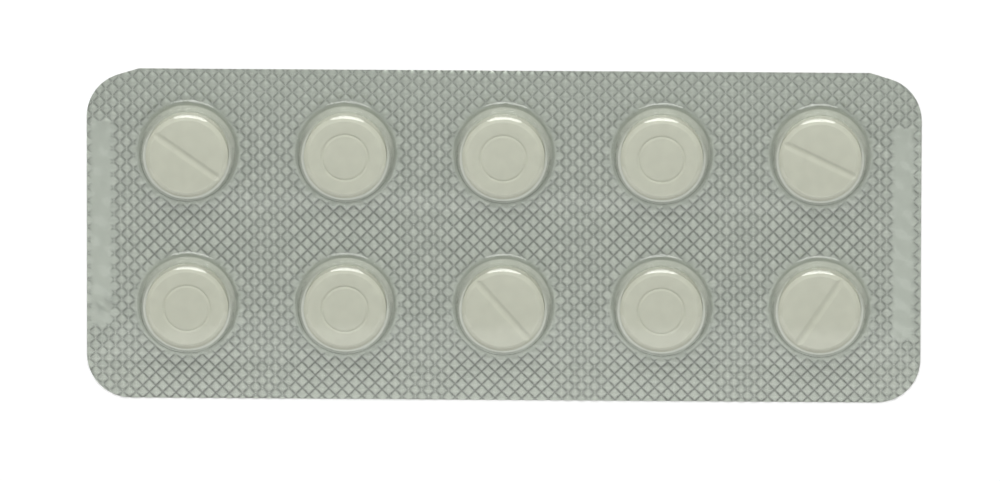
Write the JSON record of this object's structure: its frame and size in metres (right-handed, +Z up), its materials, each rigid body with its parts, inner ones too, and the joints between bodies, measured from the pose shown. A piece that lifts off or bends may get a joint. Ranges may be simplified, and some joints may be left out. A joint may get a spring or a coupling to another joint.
{
  "type": "pill blister pack",
  "caption": "Flat push-through pack: clear film with rows of round drawn pockets, sealed to aluminium foil cut to the same outline, with a flat bevel-edged scored tablet in each pocket.",
  "frame": {"origin": "middle of the pack's length and width, on the surface that its foil lies on", "axes": "+X along the pack's length, +Y towards the edge with the nipped corners, +Z up out of the pockets"},
  "size_m": [0.095, 0.038, 0.0037],
  "materials": {
    "foil": "satin",
    "clear_film": "clear gloss",
    "tablet": "pressed powder, matt"
  },
  "bodies": {
    "root": {"lidding_foil": "foil", "blister_film": "clear_film", "tablet_01": "tablet", "tablet_02": "tablet", "tablet_03": "tablet", "tablet_04": "tablet", "tablet_05": "tablet", "tablet_06": "tablet", "tablet_07": "tablet", "tablet_08": "tablet", "tablet_09": "tablet", "tablet_10": "tablet"}
  },
  "joints": []
}
